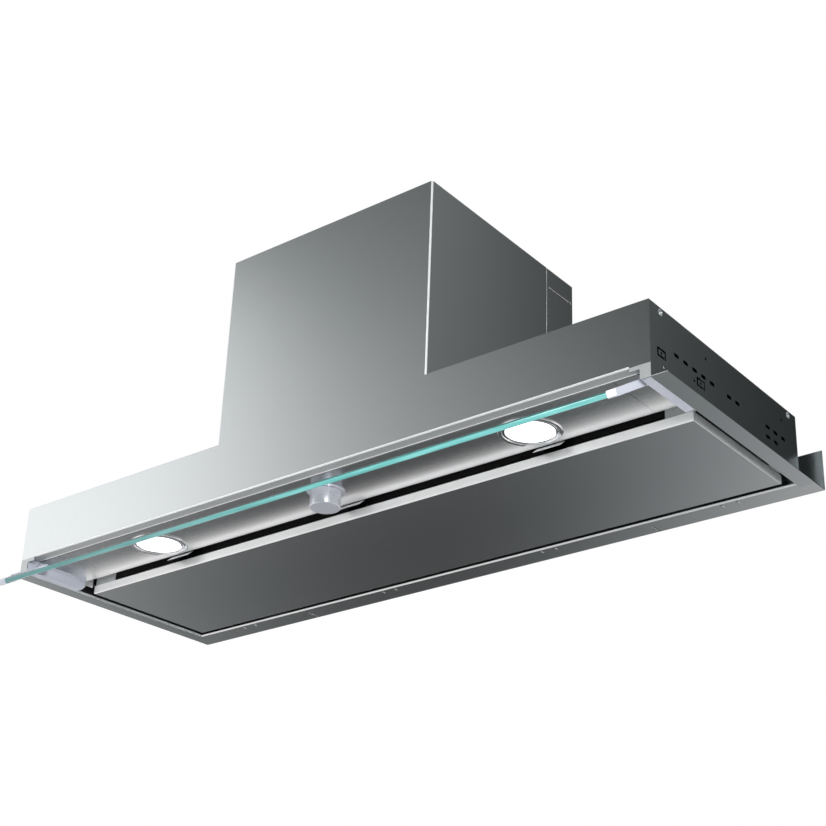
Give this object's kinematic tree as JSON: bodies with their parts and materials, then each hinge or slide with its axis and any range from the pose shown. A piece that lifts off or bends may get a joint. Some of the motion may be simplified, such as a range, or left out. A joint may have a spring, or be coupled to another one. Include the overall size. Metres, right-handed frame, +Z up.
{
  "type": "pull-out cabinet range hood",
  "caption": "Cabinet hood with perimeter suction, a tilting glass visor on slides and an offset blower tower with a round outlet.",
  "frame": {"origin": "middle of the front edge of the cabinet flange's underside, on the front face", "axes": "+X along the hood to its right end seen from the front, +Y from the front face to the wall, +Z up along the tower"},
  "size_m": [0.898, 0.356, 0.3753],
  "materials": {
    "brushed_steel": "brushed",
    "dark_steel": "brushed",
    "galvanised_steel": "satin",
    "bright_steel": "polished",
    "chrome_ring": "polished",
    "light_grey_metal": "satin",
    "knob_metal": "satin",
    "cast_aluminium": "satin",
    "motor_paint": "satin",
    "black_plastic": "matte",
    "white_plastic": "gloss",
    "gasket_rubber": "matte",
    "visor_glass": "gloss"
  },
  "bodies": {
    "hood": {"front_panel": "brushed_steel", "side_panel_left": "dark_steel", "side_panel_right": "dark_steel", "top_plate": "brushed_steel", "rear_panel": "dark_steel", "rear_rail": "brushed_steel", "rear_spacer": "dark_steel", "casing_fasteners": "bright_steel", "tower_front_shell": "brushed_steel", "tower_rear_shell": "brushed_steel", "tower_top_plate": "brushed_steel", "tower_screws": "bright_steel", "outlet_collar": "black_plastic", "valve_rod": "bright_steel", "scroll_half_left": "galvanised_steel", "scroll_half_right": "galvanised_steel", "outlet_gasket": "gasket_rubber", "fan_motor": "motor_paint", "motor_bracket": "cast_aluminium", "blower_screws": "bright_steel", "capacitor": "cast_aluminium", "control_box": "black_plastic", "control_box_lid": "black_plastic", "lamp_driver": "white_plastic", "cable_gland": "black_plastic", "light_strip": "brushed_steel", "strip_ends": "brushed_steel", "lamp_bezels": "chrome_ring", "lamp_lenses": "white_plastic", "lamp_modules": "cast_aluminium", "knob_collar": "light_grey_metal", "rotary_switch": "black_plastic", "hinge_brackets": "galvanised_steel", "hinge_pins": "bright_steel", "panel_catches": "bright_steel", "filter_deck": "galvanised_steel", "gap_end_plates": "galvanised_steel", "filter_frame_left": "cast_aluminium", "filter_frame_right": "cast_aluminium", "filter_meshes": "cast_aluminium", "slide_rails": "light_grey_metal"},
    "blower_wheel": {"impeller": "black_plastic", "motor_shaft": "bright_steel"},
    "knob": {"speed_knob": "knob_metal", "knob_shaft": "bright_steel"},
    "panel": {"suction_panel": "brushed_steel", "panel_stiffeners": "galvanised_steel", "hinge_leaves": "galvanised_steel", "panel_strikers": "galvanised_steel"},
    "flap_left": {"valve_flap_left": "black_plastic"},
    "flap_right": {"valve_flap_right": "black_plastic"},
    "latch_left": {"filter_latch_left": "black_plastic"},
    "latch_right": {"filter_latch_right": "black_plastic"},
    "visor_carriage": {"slide_carrier_left": "light_grey_metal", "slide_carrier_right": "light_grey_metal"},
    "visor_flap": {"visor_glass": "visor_glass", "visor_bracket_left": "light_grey_metal", "visor_bracket_right": "light_grey_metal", "visor_pins": "bright_steel"}
  },
  "joints": [
    {"name": "visor_slide", "type": "slide", "parent": "hood", "child": "visor_carriage", "axis": [0, 1, 0], "range_m": [0, 0.025]},
    {"name": "visor_tilt", "type": "hinge", "parent": "visor_carriage", "child": "visor_flap", "pos_m": [0, 0.015, 0.0054], "axis": [-1, 0, 0], "range_deg": [0, 32.5]},
    {"name": "speed_knob_turn", "type": "hinge", "parent": "hood", "child": "knob", "pos_m": [0, 0.0501, 0], "axis": [0, 0, 1], "range_deg": [0, 240]},
    {"name": "suction_panel_hinge", "type": "hinge", "parent": "hood", "child": "panel", "pos_m": [0, 0.2826, 0.0049], "axis": [1, 0, 0], "range_deg": [0, 90]},
    {"name": "blower_spin", "type": "hinge", "parent": "hood", "child": "blower_wheel", "pos_m": [0.0275, 0.118, 0.192], "axis": [1, 0, 0], "continuous": true},
    {"name": "valve_flap_right_turn", "type": "hinge", "parent": "hood", "child": "flap_right", "pos_m": [0.0275, 0.1685, 0.3237], "axis": [0, -1, 0], "range_deg": [0, 78]},
    {"name": "valve_flap_left_turn", "type": "hinge", "parent": "hood", "child": "flap_left", "pos_m": [0.0275, 0.1685, 0.3237], "axis": [0, 1, 0], "range_deg": [0, 78]},
    {"name": "filter_latch_left_slide", "type": "slide", "parent": "hood", "child": "latch_left", "axis": [0, 1, 0], "range_m": [0, 0.004], "stiffness_N_per_m": 400},
    {"name": "filter_latch_right_slide", "type": "slide", "parent": "hood", "child": "latch_right", "axis": [0, 1, 0], "range_m": [0, 0.004], "stiffness_N_per_m": 400}
  ]
}
